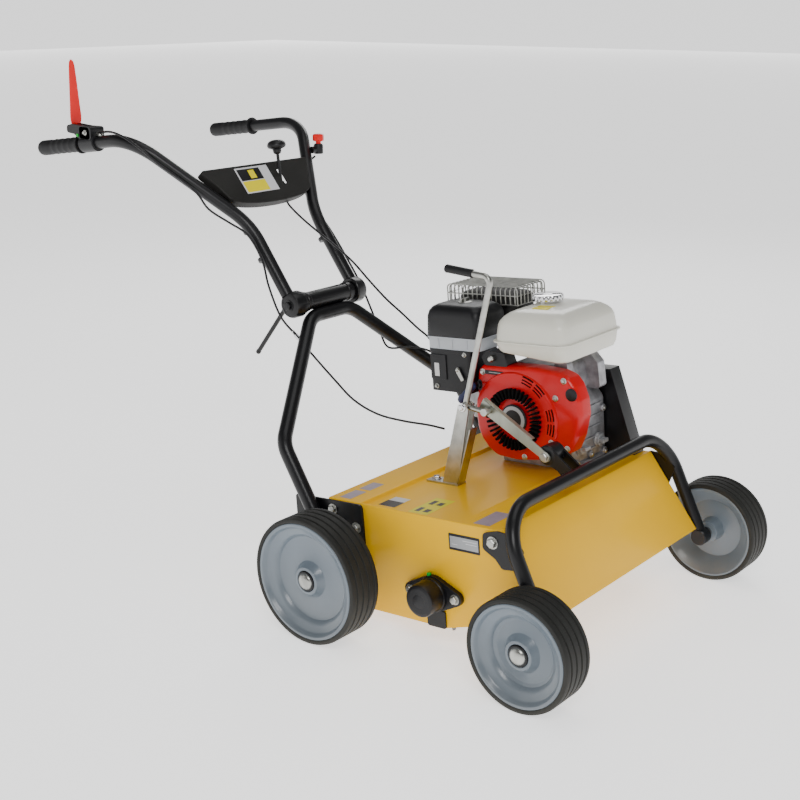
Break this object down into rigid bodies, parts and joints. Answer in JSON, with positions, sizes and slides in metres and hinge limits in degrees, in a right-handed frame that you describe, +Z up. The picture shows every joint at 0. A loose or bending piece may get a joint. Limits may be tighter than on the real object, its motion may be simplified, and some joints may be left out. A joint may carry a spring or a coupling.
{
  "type": "lawn dethatcher",
  "caption": "Walk-behind lawn dethatcher: wheeled steel housing over a bladed rotor, top-mounted petrol engine, tilting front axle frame and a folding two-arm handle.",
  "frame": {"origin": "on the floor, under the middle of the whole machine", "axes": "+Z up, +Y to the rear where the operator stands, -Y forward travel, +X to the machine's engine and belt side"},
  "size_m": [0.853, 1.4921, 1.051],
  "materials": {
    "deck_paint": "satin yellow powder coat",
    "black_paint": "satin black powder coat",
    "zinc": "zinc plated",
    "tyre_rubber": "solid rubber with circular ribs",
    "rim_grey": "grey moulded",
    "blade_steel": "hardened steel",
    "cast_alloy": "die cast",
    "cover_red": "gloss red",
    "tank_cream": "gloss cream",
    "black_plastic": "moulded",
    "chrome": "polished",
    "grip_rubber": "ribbed",
    "red_plastic": "moulded",
    "guard_grey": "satin dark grey",
    "belt_rubber": "fabric faced",
    "plate_grey": "printed plate",
    "cable_jacket": "PVC jacket",
    "blue_plastic": "moulded",
    "muffler_steel": "heat dulled steel"
  },
  "bodies": {
    "chassis": {"deck_top": "deck_paint", "side_plate_left": "deck_paint", "side_plate_right": "deck_paint", "axle_plates": "black_paint", "rear_axle": "zinc", "lower_handle": "black_paint", "pivot_tube": "black_paint", "pivot_bolt": "zinc", "deck_bolts": "zinc", "rotor_bearings": "black_paint", "slot_covers": "black_paint", "rating_plate": "plate_grey", "lever_bracket": "zinc", "engine_block": "cast_alloy", "cylinder_head": "cast_alloy", "fan_cover": "cover_red", "fuel_tank": "tank_cream", "air_cleaner_case": "black_plastic", "air_cleaner_cover": "black_plastic", "carburetor": "cast_alloy", "muffler": "muffler_steel", "muffler_guard": "zinc", "belt_guard": "guard_grey", "drive_belt": "belt_rubber", "oil_plugs": "black_plastic", "cables": "cable_jacket"},
    "front_frame": {"front_frame": "black_paint", "frame_lugs": "black_paint", "front_axles": "zinc"},
    "rear_left_wheel": {"rear_left_tyre": "tyre_rubber", "rear_left_rim": "rim_grey"},
    "rear_right_wheel": {"rear_right_tyre": "tyre_rubber", "rear_right_rim": "rim_grey"},
    "front_left_wheel": {"front_left_tyre": "tyre_rubber", "front_left_rim": "rim_grey"},
    "front_right_wheel": {"front_right_tyre": "tyre_rubber", "front_right_rim": "rim_grey"},
    "rotor": {"rotor_shaft": "zinc", "rotor_blades": "blade_steel", "rotor_spacers": "zinc"},
    "crankshaft": {"crankshaft": "zinc"},
    "depth_lever": {"depth_lever": "zinc", "depth_lever_grip": "grip_rubber"},
    "depth_link": {"depth_link": "zinc"},
    "upper_handle": {"handle_arms": "black_paint", "handle_hubs": "black_paint", "console": "black_plastic", "left_grip": "grip_rubber", "right_grip": "grip_rubber", "lever_clamp": "black_plastic", "switch_body": "black_plastic"},
    "clutch_lever": {"clutch_lever": "red_plastic"},
    "stop_button": {"stop_button": "red_plastic"},
    "throttle_lever": {"throttle_lever": "black_plastic"},
    "clamp_lever": {"clamp_lever": "black_paint"},
    "idler_pulley": {"idler_pulley": "zinc"},
    "fuel_cap": {"fuel_cap": "chrome"},
    "starter_grip": {"starter_grip": "blue_plastic"},
    "choke_lever": {"choke_lever": "zinc"},
    "engine_switch": {"engine_switch": "black_plastic"}
  },
  "joints": [
    {"name": "rear_left_wheel_spin", "type": "hinge", "parent": "chassis", "child": "rear_left_wheel", "pos_m": [0.387, -0.184, 0.125], "axis": [1, 0, 0], "continuous": true},
    {"name": "rear_right_wheel_spin", "type": "hinge", "parent": "chassis", "child": "rear_right_wheel", "pos_m": [-0.387, -0.184, 0.125], "axis": [1, 0, 0], "continuous": true},
    {"name": "front_frame_pivot", "type": "hinge", "parent": "chassis", "child": "front_frame", "pos_m": [0, -0.51369, 0.2462], "axis": [1, 0, 0], "range_deg": [-12.7, 0]},
    {"name": "front_left_wheel_spin", "type": "hinge", "parent": "front_frame", "child": "front_left_wheel", "pos_m": [0.348, -0.64, 0.105], "axis": [1, 0, 0], "continuous": true},
    {"name": "front_right_wheel_spin", "type": "hinge", "parent": "front_frame", "child": "front_right_wheel", "pos_m": [-0.348, -0.64, 0.105], "axis": [1, 0, 0], "continuous": true},
    {"name": "rotor_spin", "type": "hinge", "parent": "chassis", "child": "rotor", "pos_m": [0, -0.38222, 0.10821], "axis": [1, 0, 0], "continuous": true},
    {"name": "crankshaft_spin", "type": "hinge", "parent": "chassis", "child": "crankshaft", "pos_m": [0.15, -0.33163, 0.35374], "axis": [1, 0, 0], "continuous": true},
    {"name": "depth_lever_pivot", "type": "hinge", "parent": "chassis", "child": "depth_lever", "pos_m": [-0.07, -0.297, 0.408], "axis": [1, 0, 0], "range_deg": [-22, 0]},
    {"name": "depth_link_pivot", "type": "hinge", "parent": "depth_lever", "child": "depth_link", "pos_m": [-0.056, -0.344, 0.405], "axis": [1, 0, 0], "range_deg": [0, 35.8]},
    {"name": "handle_fold", "type": "hinge", "parent": "chassis", "child": "upper_handle", "pos_m": [0, 0.137, 0.554], "axis": [1, 0, 0], "range_deg": [-25, 90], "deforming": ["cables"]},
    {"name": "clamp_lever_turn", "type": "hinge", "parent": "chassis", "child": "clamp_lever", "pos_m": [-0.075, 0.137, 0.554], "axis": [1, 0, 0], "range_deg": [0, 70]},
    {"name": "clutch_lever_squeeze", "type": "hinge", "parent": "upper_handle", "child": "clutch_lever", "pos_m": [-0.257, 0.619, 0.905], "axis": [1, 0, 0], "range_deg": [-90, 0], "stiffness_Nm_per_rad": 0.4},
    {"name": "idler_swing", "type": "hinge", "parent": "chassis", "child": "idler_pulley", "pos_m": [0.252, -0.26258, 0.28245], "axis": [1, 0, 0], "range_deg": [-23.5, 0]},
    {"name": "throttle_lever_tilt", "type": "hinge", "parent": "upper_handle", "child": "throttle_lever", "pos_m": [0.055, 0.312, 0.777], "axis": [1, 0, 0], "range_deg": [0, 50]},
    {"name": "stop_button_press", "type": "slide", "parent": "upper_handle", "child": "stop_button", "axis": [0, 0, -1], "range_m": [0, 0.004], "stiffness_N_per_m": 600},
    {"name": "fuel_cap_turn", "type": "hinge", "parent": "chassis", "child": "fuel_cap", "pos_m": [0.15, -0.33787, 0.59219], "axis": [0, 0.0872, 0.9962], "range_deg": [0, 100]},
    {"name": "starter_pull", "type": "slide", "parent": "chassis", "child": "starter_grip", "axis": [-1, 0, 0], "range_m": [0, 0.16], "stiffness_N_per_m": 40},
    {"name": "choke_lever_turn", "type": "hinge", "parent": "chassis", "child": "choke_lever", "pos_m": [0.04, -0.19466, 0.43912], "axis": [1, 0, 0], "range_deg": [0, 60]},
    {"name": "engine_switch_turn", "type": "hinge", "parent": "chassis", "child": "engine_switch", "pos_m": [0.05, -0.24981, 0.41685], "axis": [1, 0, 0], "range_deg": [0, 45]}
  ],
  "couplings": [
    {"joint": "front_frame_pivot", "follows": "depth_lever_pivot", "ratio": 0.5543},
    {"joint": "depth_link_pivot", "follows": "depth_lever_pivot", "ratio": -1.581},
    {"joint": "idler_swing", "follows": "clutch_lever_squeeze", "ratio": 0.2556},
    {"joint": "crankshaft_spin", "follows": "rotor_spin", "ratio": 1.3584}
  ]
}
